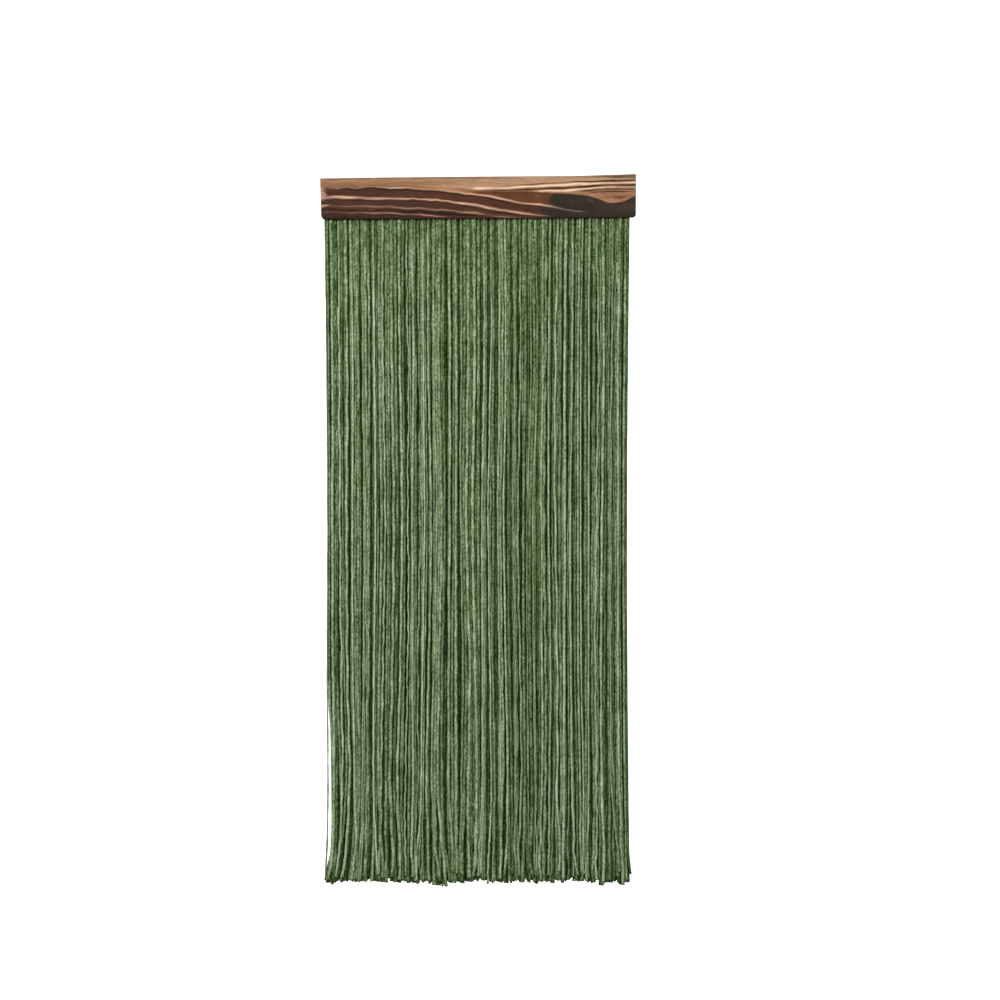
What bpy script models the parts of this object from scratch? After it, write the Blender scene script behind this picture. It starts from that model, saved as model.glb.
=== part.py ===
"""String curtain: a charred, brushed plank with three rows of cotton strings behind its front lip.

Metres, +Z up. The origin is the centre of the plank's back face, which lies flat on a wall, and
the curtain faces -Y. Each row of strings is one length of fringe tape: a narrow woven heading with
the strings fused to its lower edge, one row behind the other in a rebate along the plank's back.
"""

import math
import random
from collections import namedtuple

import bmesh
import bpy
from mathutils import Matrix, Vector, noise

# Plank: heights of its two long edges above the origin, from its left end to its right
PlankStation = namedtuple("PlankStation", "along bottom top")
PLANK_LENGTH = 0.900
PLANK_THICKNESS = 0.025
PLANK_STATIONS = (
    PlankStation(0.00, -0.0790, 0.0376),
    PlankStation(0.20, -0.0778, 0.0404),
    PlankStation(0.50, -0.0763, 0.0430),
    PlankStation(0.80, -0.0738, 0.0446),
    PlankStation(0.92, -0.0729, 0.0478),
    PlankStation(1.00, -0.0725, 0.0504),
)
LEFT_END_SLANT = 0.0035
CORNER_RADII = {"bottom_left": 0.011, "bottom_right": 0.008}
ARRIS_RADIUS = 0.0012

# Rebate along the lower edge of the plank's back, where the headings sit
REBATE_DEPTH = 0.0135
REBATE_TOP = -0.043
SEAT_GAP = 0.0003

# Curtain: the levels of its heading and hem, and how much of its width it loses at half height
HEADING_BOTTOM = -0.066
HEADING_DEPTH = 0.0036
HEM_HEIGHT = -1.963
WAIST_SHARE = 0.017

# Levels at which a string has a ring of corners, as shares of the drop from heading to hem
STRING_LEVELS = (0.20, 0.46, 0.72, 0.86, 0.95, 1.00)

# How strings wander: neighbours drift together, each one strays by itself, and more at the hem.
# Ripples are counted along each metre of the curtain and down the drop. Each kind of ripple has its
# own lane of noise, and the outer strings stay calm
DRIFT = 0.010
DRIFT_RIPPLES = 16.0
STRAY = 0.004
HEM_STRAY = 0.014
HEM_STRAY_POWER = 8
STRAY_RIPPLES = 75.0
BELLY_RIPPLES = 45.0
RIPPLES_DOWN = 3.0
LANES = {"drift": 0.0, "belly": 4.1, "stray": 6.9, "hem": 12.3}
EDGE_CALM = 0.050
LEAST_GAP = 0.0005

# Rows of strings, front to back, each from its left end to its right: jitter is how far a root leaves
# its even place, in pitches, wander how freely the strings leave their own lines, and belly how far
# a row sways towards the room. The middle row's strings hang over the back row's gaps
Row = namedtuple("Row", "name count left right front_y string_width width_spread jitter wander belly seed")
ROWS = (
    Row("strings_front", 80, -0.4385, 0.4320, -0.0132, 0.0062, 0.30, 0.40, 1.0, 0.0045, 11),
    Row("strings_middle", 80, -0.4369, 0.4274, -0.0092, 0.0084, 0.12, 0.07, 0.6, 0.0000, 37),
    Row("strings_back", 80, -0.4323, 0.4320, -0.0052, 0.0097, 0.03, 0.02, 0.3, 0.0000, 37),
)

# The hem's longer and shorter locks: where, half their width, and how far they hang below the rest
HemWave = namedtuple("HemWave", "centre half_width drop")
HEM_WAVES = (
    HemWave(-0.418, 0.008, 0.008),
    HemWave(-0.252, 0.012, -0.007),
    HemWave(-0.234, 0.008, 0.007),
    HemWave(-0.190, 0.022, 0.008),
    HemWave(-0.116, 0.030, 0.015),
    HemWave(0.000, 0.016, -0.007),
    HemWave(0.039, 0.006, 0.008),
    HemWave(0.167, 0.006, 0.007),
    HemWave(0.215, 0.008, 0.008),
    HemWave(0.267, 0.009, -0.010),
    HemWave(0.300, 0.014, -0.006),
    HemWave(0.353, 0.007, 0.011),
    HemWave(0.413, 0.016, 0.007),
)
HEM_ROUGHNESS = 0.007
HEM_RIPPLES = 90.0

# The front row's first string is thin and hangs clear of the others low down: it drifts inwards,
# and the others within its reach draw in as far as the body's edge, by these amounts down the drop
LOOSE_WIDTH = 0.0038
LOOSE_DRIFT = 0.005
LOOSE_BODY_EDGE = -0.4180
LOOSE_REACH = 0.180
Opening = namedtuple("Opening", "share amount")
LOOSE_OPENINGS = (Opening(0.70, 0.0), Opening(0.84, 1.0), Opening(0.95, 0.8), Opening(1.00, -0.1))

# The front row's last string kicks outwards at its foot and ends short
KICK_START = 0.95
KICK_OUT = 0.008
KICK_SHORTER = 0.020


def remove_everything():
    """Empty the scene of its objects."""
    for item in list(bpy.data.objects):
        bpy.data.objects.remove(item, do_unlink=True)


def new_collection(name):
    """Add a collection to the scene."""
    collection = bpy.data.collections.new(name)
    bpy.context.scene.collection.children.link(collection)
    return collection


def plain_material(name, colour, roughness):
    """Make a Principled material of one colour."""
    material = bpy.data.materials.new(name)
    material.use_nodes = True
    shader = material.node_tree.nodes["Principled BSDF"]
    shader.inputs["Base Color"].default_value = (*colour, 1.0)
    shader.inputs["Roughness"].default_value = roughness
    shader.inputs["Metallic"].default_value = 0.0
    return material


def add_mesh_object(name, bm, collection, material):
    """Turn a bmesh into an object with one material, smooth but for its sharp edges."""
    mesh = bpy.data.meshes.new(name)
    bm.to_mesh(mesh)
    bm.free()
    mesh.materials.append(material)
    mesh.shade_smooth()
    mesh.set_sharp_from_angle(angle=math.radians(50))
    item = bpy.data.objects.new(name, mesh)
    collection.objects.link(item)
    return item


# ---------------------------------------------------------------- plank


def plank_outline():
    """Corner points of the plank's front view, anticlockwise from its bottom left corner."""
    half = PLANK_LENGTH / 2
    bottom = [(station.along * PLANK_LENGTH - half, station.bottom) for station in PLANK_STATIONS]
    top = [(station.along * PLANK_LENGTH - half, station.top) for station in PLANK_STATIONS]
    bottom[0] = (bottom[0][0] + LEFT_END_SLANT, bottom[0][1])
    return bottom + top[::-1]


def plank_blank():
    """Extrude the outline to the plank's thickness and return it as a welded bmesh, standing up.

    Each cap becomes one flat face, so that the arrises can be rounded evenly all round it.
    """
    curve = bpy.data.curves.new("plank_outline", "CURVE")
    curve.dimensions = "2D"
    curve.fill_mode = "BOTH"
    curve.extrude = PLANK_THICKNESS / 2
    points = plank_outline()
    spline = curve.splines.new("POLY")
    spline.points.add(len(points) - 1)
    for point, (x, z) in zip(spline.points, points):
        point.co = (x, z, 0.0, 1.0)
    spline.use_cyclic_u = True
    guide = bpy.data.objects.new("plank_outline", curve)
    bpy.context.scene.collection.objects.link(guide)
    mesh = bpy.data.meshes.new_from_object(guide.evaluated_get(bpy.context.evaluated_depsgraph_get()))
    bm = bmesh.new()
    bm.from_mesh(mesh)
    bmesh.ops.remove_doubles(bm, verts=bm.verts, dist=0.00001)
    bmesh.ops.dissolve_limit(bm, angle_limit=math.radians(0.05), verts=bm.verts, edges=bm.edges)
    stand_up = Matrix.Rotation(math.radians(90), 4, "X")
    set_back = Matrix.Translation((0.0, -PLANK_THICKNESS / 2, 0.0))
    bmesh.ops.transform(bm, matrix=set_back @ stand_up, verts=bm.verts)
    bpy.data.objects.remove(guide, do_unlink=True)
    bpy.data.curves.remove(curve)
    bpy.data.meshes.remove(mesh)
    return bm


def round_lower_corners(bm):
    """Round the plank's two lower corners, seen from the front."""
    half = PLANK_LENGTH / 2
    corners = {
        "bottom_left": (LEFT_END_SLANT - half, PLANK_STATIONS[0].bottom),
        "bottom_right": (half, PLANK_STATIONS[-1].bottom),
    }
    for name, (x, z) in corners.items():
        edges = [
            edge
            for edge in bm.edges
            if all(math.hypot(vert.co.x - x, vert.co.z - z) < ARRIS_RADIUS for vert in edge.verts)
        ]
        bmesh.ops.bevel(
            bm,
            geom=edges,
            offset=CORNER_RADII[name],
            segments=4,
            profile=0.5,
            affect="EDGES",
            clamp_overlap=True,
        )


def build_plank(collection, cutters):
    """Make the plank, with softened arrises and the rebate for the headings."""
    bm = plank_blank()
    round_lower_corners(bm)
    wood = plain_material("charred_wood", (0.15, 0.075, 0.042), 0.6)
    plank = add_mesh_object("plank", bm, collection, wood)
    arris = plank.modifiers.new("arris", "BEVEL")
    arris.width = ARRIS_RADIUS
    arris.segments = 2
    arris.use_clamp_overlap = False
    arris.limit_method = "ANGLE"
    arris.angle_limit = math.radians(60)

    cutter_height = 0.100
    cutter_reach = 0.020
    bpy.ops.mesh.primitive_cube_add(size=1.0)
    cutter = bpy.context.object
    cutter.name = "rebate_cutter"
    cutter.scale = (PLANK_LENGTH + cutter_reach, REBATE_DEPTH + cutter_reach, cutter_height)
    cutter.location = (0.0, (cutter_reach - REBATE_DEPTH) / 2, REBATE_TOP - cutter_height / 2)
    cutter.hide_render = True
    cutter.display_type = "WIRE"
    for owner in list(cutter.users_collection):
        owner.objects.unlink(cutter)
    cutters.objects.link(cutter)
    rebate = plank.modifiers.new("rebate", "BOOLEAN")
    rebate.operation = "DIFFERENCE"
    rebate.solver = "EXACT"
    rebate.object = cutter
    return plank


# ---------------------------------------------------------------- strings


def loose_amount(share):
    """How far the loose string stands open at a level, from 0 to 1."""
    for above, below in zip(LOOSE_OPENINGS, LOOSE_OPENINGS[1:]):
        if above.share <= share <= below.share:
            part = (share - above.share) / (below.share - above.share)
            return above.amount + part * (below.amount - above.amount)
    return 0.0


def ripple(x, share, row, kind, per_metre):
    """Smooth noise from about -0.5 to 0.5 at a place along a row and a share of its drop."""
    return noise.noise(Vector((x * per_metre, share * RIPPLES_DOWN, row.seed + LANES[kind])))


def part_neighbours(places, widths):
    """Push strings of one row apart where they would touch, about equally to both sides."""
    rightward = list(places)
    for i in range(1, len(places)):
        least = (widths[i - 1] + widths[i]) / 2 + LEAST_GAP
        rightward[i] = max(rightward[i], rightward[i - 1] + least)
    leftward = list(places)
    for i in range(len(places) - 2, -1, -1):
        least = (widths[i + 1] + widths[i]) / 2 + LEAST_GAP
        leftward[i] = min(leftward[i], leftward[i + 1] - least)
    return [(a + b) / 2 for a, b in zip(rightward, leftward)]


def lay_out_roots(row, rng):
    """Give each string of a row its width and the place of its root."""
    spread = row.width_spread
    widths = [row.string_width * rng.uniform(1 - spread, 1 + spread) for _ in range(row.count)]
    if row is ROWS[0]:
        widths[0] = LOOSE_WIDTH
    pitch = (row.right - row.left) / row.count
    roots = [row.left + pitch * (i + 0.5 + rng.uniform(-row.jitter, row.jitter)) for i in range(row.count)]
    roots[0] = row.left + widths[0] / 2
    roots[-1] = row.right - widths[-1] / 2
    return widths, part_neighbours(roots, widths)


def row_at_level(row, roots, widths, share):
    """The places of a row's strings at one level, in order from left to right."""
    middle = (ROWS[0].left + ROWS[0].right) / 2
    first = 1 if row is ROWS[0] else 0
    draw_in = (LOOSE_BODY_EDGE - roots[first] + widths[first] / 2) * loose_amount(share)
    places = []
    for i, root in enumerate(roots):
        from_edge = min(root - roots[0], roots[-1] - root)
        freedom = row.wander * min(1.0, from_edge / EDGE_CALM) * min(1.0, share / STRING_LEVELS[0])
        x = middle + (root - middle) * (1 - WAIST_SHARE * math.sin(math.pi * share))
        drift = DRIFT * ripple(root, share, row, "drift", DRIFT_RIPPLES)
        looseness = STRAY + HEM_STRAY * share**HEM_STRAY_POWER
        stray = looseness * ripple(root, share, row, "stray", STRAY_RIPPLES)
        x += freedom * (drift + stray)
        if i < first:
            x += LOOSE_DRIFT * loose_amount(share)
        else:
            x += draw_in * max(0.0, 1 - (root - roots[first]) / LOOSE_REACH)
        places.append(x)
    if row is ROWS[0]:
        places[-1] += KICK_OUT * max(0.0, (share - KICK_START) / (1 - KICK_START))
    return part_neighbours(places, widths)


def string_lengths(row, roots):
    """How far past the hem's level each string ends, as a drop (shorter ones are negative)."""
    drops = []
    for root in roots:
        drop = HEM_ROUGHNESS * ripple(root, 1.0, row, "hem", HEM_RIPPLES)
        for wave in HEM_WAVES:
            reach = (root - wave.centre) / wave.half_width
            drop += wave.drop * max(0.0, 1 - reach**2)
        drops.append(drop)
    if row is ROWS[0]:
        drops[-1] = -KICK_SHORTER
    return drops


def string_rings(row, roots, widths):
    """Centres of every string's rings below its root, the last one moved along to its own length."""
    drop = HEADING_BOTTOM - HEM_HEIGHT
    rows_down = [row_at_level(row, roots, widths, share) for share in STRING_LEVELS]
    drops = string_lengths(row, roots)
    rings = []
    for i in range(row.count):
        belly = row.belly * (0.5 + ripple(roots[i], 0.0, row, "belly", BELLY_RIPPLES))
        centres = []
        for share, places in zip(STRING_LEVELS, rows_down):
            y = row.front_y + HEADING_DEPTH / 2 - belly * math.sin(math.pi / 2 * share)
            centres.append(Vector((places[i], y, HEADING_BOTTOM - drop * share)))
        last_run = centres[-1] - centres[-2]
        centres[-1] += last_run * (drops[i] / -last_run.z)
        rings.append(centres)
    return rings


def heading_block(row, breaks):
    """The row's heading as a bmesh box, its underside cut at every string's two sides."""
    heading_top = REBATE_TOP - SEAT_GAP
    size = Vector((breaks[-1] - breaks[0], HEADING_DEPTH, heading_top - HEADING_BOTTOM))
    centre = Vector(
        (
            (breaks[0] + breaks[-1]) / 2,
            row.front_y + HEADING_DEPTH / 2,
            (heading_top + HEADING_BOTTOM) / 2,
        )
    )
    bm = bmesh.new()
    bmesh.ops.create_cube(bm, size=1.0, matrix=Matrix.Translation(centre) @ Matrix.Diagonal((*size, 1.0)))
    long_edges = [
        edge
        for edge in bm.edges
        if all(vert.co.z < centre.z for vert in edge.verts)
        and abs(edge.verts[0].co.x - edge.verts[1].co.x) > size.x / 2
    ]
    bmesh.ops.subdivide_edges(bm, edges=long_edges, cuts=len(breaks) - 2, use_grid_fill=True)
    for is_front in (True, False):
        lower = [vert for vert in bm.verts if vert.co.z < centre.z and (vert.co.y < centre.y) == is_front]
        for vert, x in zip(sorted(lower, key=lambda vert: vert.co.x), breaks):
            vert.co.x = x
    return bm


def underside_faces(bm):
    """The heading's lower faces from left to right: gap, string, gap, string and so on."""
    bm.normal_update()
    faces = [face for face in bm.faces if face.normal.z < -0.5]
    return sorted(faces, key=lambda face: face.calc_center_median().x)


def draw_out_string(bm, face, centres, width):
    """Extrude a root face down through a string's rings."""
    start = face.calc_center_median()
    corners = [(math.copysign(1, v.co.x - start.x), math.copysign(1, v.co.y - start.y)) for v in face.verts]
    for centre in centres:
        face = bmesh.ops.extrude_discrete_faces(bm, faces=[face])["faces"][0]
        for vert, (side, depth_side) in zip(face.verts, corners):
            vert.co = centre + Vector((side * width / 2, depth_side * HEADING_DEPTH / 2, 0.0))


def build_row(row, collection, material):
    """Make one row of strings fused to its heading."""
    rng = random.Random(row.seed)
    widths, roots = lay_out_roots(row, rng)
    breaks = []
    for root, width in zip(roots, widths):
        breaks += [root - width / 2, root + width / 2]
    breaks = [breaks[0] - LEAST_GAP, *breaks, breaks[-1] + LEAST_GAP]
    bm = heading_block(row, breaks)
    root_faces = underside_faces(bm)[1::2]
    for face, centres, width in zip(root_faces, string_rings(row, roots, widths), widths):
        draw_out_string(bm, face, centres, width)
    return add_mesh_object(row.name, bm, collection, material)


def main():
    """Build the whole curtain."""
    remove_everything()
    curtain = new_collection("string_curtain")
    cutters = new_collection("cutters")
    build_plank(curtain, cutters)
    yarn = plain_material("cotton_yarn", (0.105, 0.147, 0.072), 0.9)
    for row in ROWS:
        build_row(row, curtain, yarn)


main()
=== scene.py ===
"""Dense door curtain of twisted sage-green cotton strings, hung from a charred and brushed plank.

Metres, +Z up, the curtain faces -Y. Every string solid is dressed with the yarns that hang together
in it, the headings with woven tape, and the plank with a brushed board of the same size.
"""

import math
from collections import namedtuple

import bmesh
import bpy
import numpy as np
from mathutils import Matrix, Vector


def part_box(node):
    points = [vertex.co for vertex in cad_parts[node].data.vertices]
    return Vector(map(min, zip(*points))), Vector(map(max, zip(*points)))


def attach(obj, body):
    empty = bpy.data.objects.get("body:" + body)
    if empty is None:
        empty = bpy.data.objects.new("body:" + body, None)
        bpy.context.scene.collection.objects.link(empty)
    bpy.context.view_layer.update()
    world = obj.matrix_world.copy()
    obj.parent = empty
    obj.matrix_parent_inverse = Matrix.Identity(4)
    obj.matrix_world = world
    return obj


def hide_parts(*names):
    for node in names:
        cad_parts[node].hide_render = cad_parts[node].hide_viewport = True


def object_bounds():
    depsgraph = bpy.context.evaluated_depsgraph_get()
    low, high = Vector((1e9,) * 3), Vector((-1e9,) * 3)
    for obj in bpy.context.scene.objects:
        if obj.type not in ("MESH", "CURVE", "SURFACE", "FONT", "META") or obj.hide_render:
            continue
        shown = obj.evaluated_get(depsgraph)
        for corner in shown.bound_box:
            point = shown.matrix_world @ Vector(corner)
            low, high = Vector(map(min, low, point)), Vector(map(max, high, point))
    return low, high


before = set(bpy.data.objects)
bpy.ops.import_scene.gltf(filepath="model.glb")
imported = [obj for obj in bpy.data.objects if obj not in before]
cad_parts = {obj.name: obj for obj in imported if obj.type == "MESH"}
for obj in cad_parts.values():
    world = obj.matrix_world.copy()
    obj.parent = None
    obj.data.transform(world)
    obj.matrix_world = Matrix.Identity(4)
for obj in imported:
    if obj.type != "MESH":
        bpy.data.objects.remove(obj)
cad_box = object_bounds()

MM = 0.001


# ---------------------------------------------------------------- sizes of the curtain

# What hangs in one string: how many yarns, how thick each is beside the string, and how often
Bunch = namedtuple("Bunch", "yarns share often")

# A fringe: its solid and its piece, its bunches and how far they spread, how many rings and sides a
# yarn has, how freely it swings, how far apart the foremost strings are (any between them hang
# sunken) and how much painted shade darkens the sunken ones, how far the yarns of a bunch hang one
# behind another, how much the yarns differ in tone, and the seed of its random choices
Fringe = namedtuple(
    "Fringe", "node piece bunches spread rings sides swing apart dim set_back tone_spread seed"
)
FRINGES = (
    Fringe(
        "strings_front", "front_yarns", bunches=(Bunch(1, 1.24, 0.92), Bunch(2, 0.66, 0.08)),
        spread=1.0, rings=136, sides=6, swing=1.0, apart=15.0 * MM, dim=0.18,
        set_back=2.0 * MM, tone_spread=0.038, seed=5,
    ),
    Fringe(
        "strings_middle", "middle_yarns", bunches=(Bunch(1, 1.12, 0.92), Bunch(2, 0.70, 0.08)),
        spread=1.25, rings=96, sides=6, swing=0.6, apart=12.5 * MM, dim=0.19,
        set_back=2.0 * MM, tone_spread=0.038, seed=6,
    ),
    Fringe(
        "strings_back", "back_yarns", bunches=(Bunch(4, 0.52, 1.0),),
        spread=1.0, rings=52, sides=5, swing=0.15, apart=0.0, dim=0.0,
        set_back=5.0 * MM, tone_spread=0.075, seed=7,
    ),
)
ROOM_FRINGE, WALL_FRINGE = FRINGES[0], FRINGES[-1]

# Sunken strings: how far they hang back, and how thick they are beside the foremost ones
SUNKEN_BY = 2.8 * MM
SUNKEN_THICKNESS = 0.95

# Thickness: how much yarns differ, at least this share of it where they hardly swing, and how much
# each one swells and thins over these lengths. At the roots and near the hem they are thicker
THICKNESS_SPREAD = 0.16
LEAST_SWING = 0.4
SWELL = 0.12
SWELL_LENGTHS = (0.14, 0.06)
ROOT_WIDER = 0.28
ROOT_LENGTH = 0.35
HEM_WIDER = 0.12
HEM_WIDER_SHARES = (0.72, 0.94)

# Rings lie closer together in the last stretch of a yarn: where it starts as a share of the drop,
# and the share of the rings that it has
HEM_SHARE = 0.86
HEM_RINGS_SHARE = 0.34

# Spread of the random widths of waves and strays, as a share of the width that is given for them,
# and between which shares of the length that is given for it each wave's own length lies
USUAL_REACH = 0.75
OWN_LENGTHS = (0.7, 1.4)

# The waves in which a yarn swings sideways and in which it turns round its string, and how far
# below the roots each is free. A turn moves a yarn's place from front to back more than its place
# across, and the latter turns into depth by this much
SWING_LENGTHS = (0.90, 0.38, 0.16, 0.075, 0.045)
SWING_WIDTHS = (0.6 * MM, 0.7 * MM, 0.9 * MM, 0.5 * MM, 0.5 * MM)
SWING_FREE = 0.05
TURN_LENGTHS = (0.9, 0.4)
TURN_ANGLES = (0.9, 0.7)
TURN_FREE = 0.15
TURN_BACK = 1.7
TURN_DEPTH = 0.5

# Yarns of a bunch: the share of their set-back that lies before the string's middle, and how far
# each of a pair lies beside it, as a share of its thickness
IN_FRONT = 0.35
PAIR_APART = 0.85

# Near the hem the yarns stray sideways and, by a share of it, in depth, in waves of these lengths.
# The outermost strings stray less
HEM_STRAY = 6.5 * MM
STRAY_DEPTH = 0.25
STRAY_LENGTHS = (0.30, 0.15)
STRAY_WIDTHS = (0.5, 0.3)
STRAY_SHARES = (0.80, 1.0)
CALM_STRINGS = 4

# Their ends: how uneven they are, with random shares of that, how much shorter a few are cut, and
# how much longer all hang, which starts at a share of the drop. Then how far they curl, and over
# which length
HEM_UNEVEN = 6.0 * MM
HEM_UNEVEN_SHARES = (-1.0, 0.5)
HEM_SHORTER = 32 * MM
HEM_LONGER = 7.0 * MM
HEM_STRETCH_FROM = 0.9
TIP_CURL = 2.2 * MM
CURL_LENGTH = 45 * MM

# The loose strings at both sides of the front fringe: how calm, how thick, and their tones
LOOSE_CALM = 0.15
LOOSE_WIDER = 1.15
LOOSE_TONES = (0.62, 0.42)

# How far every yarn stays clear of the wall
WALL_CLEARANCE = 0.4 * MM

# The frayed end of a yarn: how long and wide the flare is, how far up it looks frayed, and its tufts
FLARE_LENGTH = 16 * MM
FLARE_WIDTH = 1.35
FRAY_LENGTH = 30 * MM
TUFTS = 6
TUFT_LENGTH = 5.5 * MM
TUFT_SPREAD = 2.2 * MM
TUFT_ROOT = 0.7 * MM
TUFT_OVERLAP = 1.5 * MM

# Random shares: how far from a yarn's middle a tuft starts, how long it is and how far it spreads
TUFT_PLACES = (0.1, 0.85)
TUFT_LENGTHS = (0.4, 1.0)
TUFT_SPREADS = (-0.1, 1.0)

# Inside the curtain the yarns get painted shade, where shade falls between them: it starts this deep,
# and is full this much deeper. A corner that faces the room gets it counted from the front, and one
# that faces the wall counted from the back. The sides of a yarn, where yarns touch, get a little
# painted shade too. Facing is from -1, the room, to 1, the wall, and for the sides it counts without
# its sign
CALM_DEPTH = 2.5 * MM
DARK_DEPTH = 11.0 * MM
TURNED_FACING = (-0.6, 0.6)
EDGE_SHADE = 0.28
EDGE_FACING = (0.15, 0.85)

# Twist of a yarn: how many plies it has, and how long one turn of them is
PLIES = 3
LAY = 15 * MM

# The maps of a yarn: how much of its strip the bake map fills, and how far its place round it stays
# clear of the next yarn's number in the twist map
BAKE_FILL = 0.9
TWIST_MARGIN = 0.02

# How much darker the cotton is painted: painted shade in the grooves of the twist and deep inside,
# and some darkening at its frayed end; and by what share the painted shade inside is weaker at that
# end
GROOVE_SHADE = 0.16
DEEP_SHADE = 0.465
FRAY_SHADE = 0.15
FRAY_THINS = 0.35

# Near the roots the yarns are pressed together: the painted shade of the inside is weaker, but
# painted shade lies all over them, and their tones differ less
ROOT_DEPTH = 0.60
ROOT_SHADE = 0.32
ROOT_TONES = 0.5

# How strongly the cotton is mottled, the yarns' middle tone, the tone of the gaps between them, and
# over how many neighbours to each side their tones even out. That is worked out at one ring, this
# part of the way down the rings, and how far a yarn covers its share of the row counts within limits
YARN_MOTTLE = 0.34
YARN_TONE = 0.792
GAP_TONE = 0.38
EVEN_REACH = 3
EVEN_RING_PART = 3
COVER = (0.5, 1.1)


def curve_through(stations, values, at):
    """Smooth curve through values at rising stations, read at other places."""
    stations = np.asarray(stations, float)
    values = np.asarray(values, float)
    slopes = np.gradient(values, stations, axis=0)
    place = np.clip(np.searchsorted(stations, at, side="right") - 1, 0, len(stations) - 2)
    run = stations[place + 1] - stations[place]
    t = (at - stations[place]) / run
    shape = t.shape + (1,) * (values.ndim - 1)
    t, run = t.reshape(shape), run.reshape(shape)
    start = (2 * t**3 - 3 * t**2 + 1) * values[place]
    start += (t**3 - 2 * t**2 + t) * run * slopes[place]
    end = (3 * t**2 - 2 * t**3) * values[place + 1]
    end += (t**3 - t**2) * run * slopes[place + 1]
    return start + end


def smooth_step(x, low, high):
    """0 below low, 1 above high, smooth between."""
    t = np.clip((x - low) / (high - low), 0.0, 1.0)
    return t * t * (3 - 2 * t)


def even_out(tones, places, radii):
    """Tones of yarns side by side, without the drift that shows over more than a few of them."""
    cover = np.clip(2 * radii / np.gradient(places), *COVER)
    shown = (tones - GAP_TONE) * cover
    weights = np.hanning(2 * EVEN_REACH + 3)[1:-1]
    drift = np.convolve(np.pad(shown, EVEN_REACH, mode="reflect"), weights / weights.sum(), "valid")
    return tones - (drift - shown.mean()) / cover


# ---------------------------------------------------------------- strings: where they hang


def joined_corners(bm):
    """The separate parts of a mesh, each as a list of its corners."""
    seen = set()
    for first in bm.verts:
        if first in seen:
            continue
        seen.add(first)
        part = [first]
        for vert in part:
            others = [edge.other_vert(vert) for edge in vert.link_edges]
            others = [other for other in others if other not in seen]
            seen.update(others)
            part += others
        yield part


def string_solids(node):
    """Centre and half width of each string of a fringe at its rings, from left to right.

    The result has one row for each string, and for each ring its x, y, z and half width.
    """
    bm = bmesh.new()
    bm.from_mesh(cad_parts[node].data)
    bmesh.ops.remove_doubles(bm, verts=bm.verts, dist=1e-6)
    levels = sorted({round(vert.co.z, 4) for vert in bm.verts}, reverse=True)
    root_level = levels[1]
    roots = [vert for vert in bm.verts if abs(vert.co.z - root_level) < 1e-4]
    sides = sorted({round(vert.co.x, 6) for vert in roots})[1:-1]
    depth = sum(vert.co.y for vert in roots) / len(roots)
    above = [vert for vert in bm.verts if vert.co.z > root_level - 1e-4]
    bmesh.ops.delete(bm, geom=above, context="VERTS")
    bm.verts.ensure_lookup_table()
    strings = []
    for part in joined_corners(bm):
        rings = {}
        for vert in part:
            rings.setdefault(round(vert.co.z, 5), []).append(vert.co)
        row = []
        for level in sorted(rings, reverse=True):
            corners = np.array(rings[level])
            middle = corners.mean(axis=0)
            row.append((*middle, (corners[:, 0].max() - corners[:, 0].min()) / 2))
        strings.append(row)
    bm.free()
    strings.sort(key=lambda row: row[0][0])
    solids = []
    for row, left, right in zip(strings, sides[0::2], sides[1::2]):
        root = ((left + right) / 2, depth, root_level, (right - left) / 2)
        solids.append([root, *row])
    return np.array(solids)


def find_sunken(solids, apart):
    """Which strings hang sunken: those too near the last foremost string on their left."""
    sunken = np.zeros(len(solids), bool)
    foremost = solids[0, 3, 0]
    for i in range(1, len(solids) - 1):
        sunken[i] = solids[i, 3, 0] - foremost < apart
        foremost = foremost if sunken[i] else solids[i, 3, 0]
    return sunken


def share_out(fringe, strings, rng):
    """The yarns of a fringe from left to right: each one's string, its place across the string from
    -1 to 1, its place from front to back from 0 to 1, and its thickness beside the string's."""
    picks = rng.choice(len(fringe.bunches), strings, p=[bunch.often for bunch in fringe.bunches])
    picks[[0, -1]] = 0
    yarns = []
    for i, pick in enumerate(picks):
        bunch = fringe.bunches[pick]
        for number, rank in enumerate(rng.permutation(bunch.yarns)):
            place = 2 * (number + 0.5) / bunch.yarns - 1
            yarns.append((i, place, rank / max(1, bunch.yarns - 1), bunch.share))
    owners, places, backs, widths = np.array(yarns).T
    return owners.astype(int), places, backs, widths


def ring_shares(count):
    """Shares of the drop at which a yarn has rings, closer together near the hem."""
    low = int(count * HEM_RINGS_SHARE)
    upper = np.linspace(0.0, HEM_SHARE, count - low, endpoint=False)
    return np.concatenate([upper, np.linspace(HEM_SHARE, 1.0, low)])


def slow_waves(rng, count, lengths, widths, along):
    """Slow waves of yarns down their length, each the sum of a few, one row a yarn."""
    total = np.zeros((count, along.shape[-1]))
    for length, width in zip(lengths, widths):
        own_length = length * rng.uniform(*OWN_LENGTHS, (count, 1))
        phase = rng.uniform(0, 2 * math.pi, (count, 1))
        own_width = width * rng.normal(0, USUAL_REACH, (count, 1))
        total += own_width * np.sin(2 * math.pi * along / own_length + phase)
    return total


def fill_row(guides, owners, paths):
    """Move the yarns' strings to the middles of their shares of the row, and give half the shares."""
    middles = (guides[1:, :, 0] + guides[:-1, :, 0]) / 2
    lefts = np.concatenate([2 * guides[:1, :, 0] - middles[:1], middles])
    rights = np.concatenate([middles, 2 * guides[-1:, :, 0] - middles[-1:]])
    paths = paths.copy()
    paths[:, :, 0] = (lefts + rights)[owners] / 2
    return paths, (rights - lefts)[owners] / 2


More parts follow.
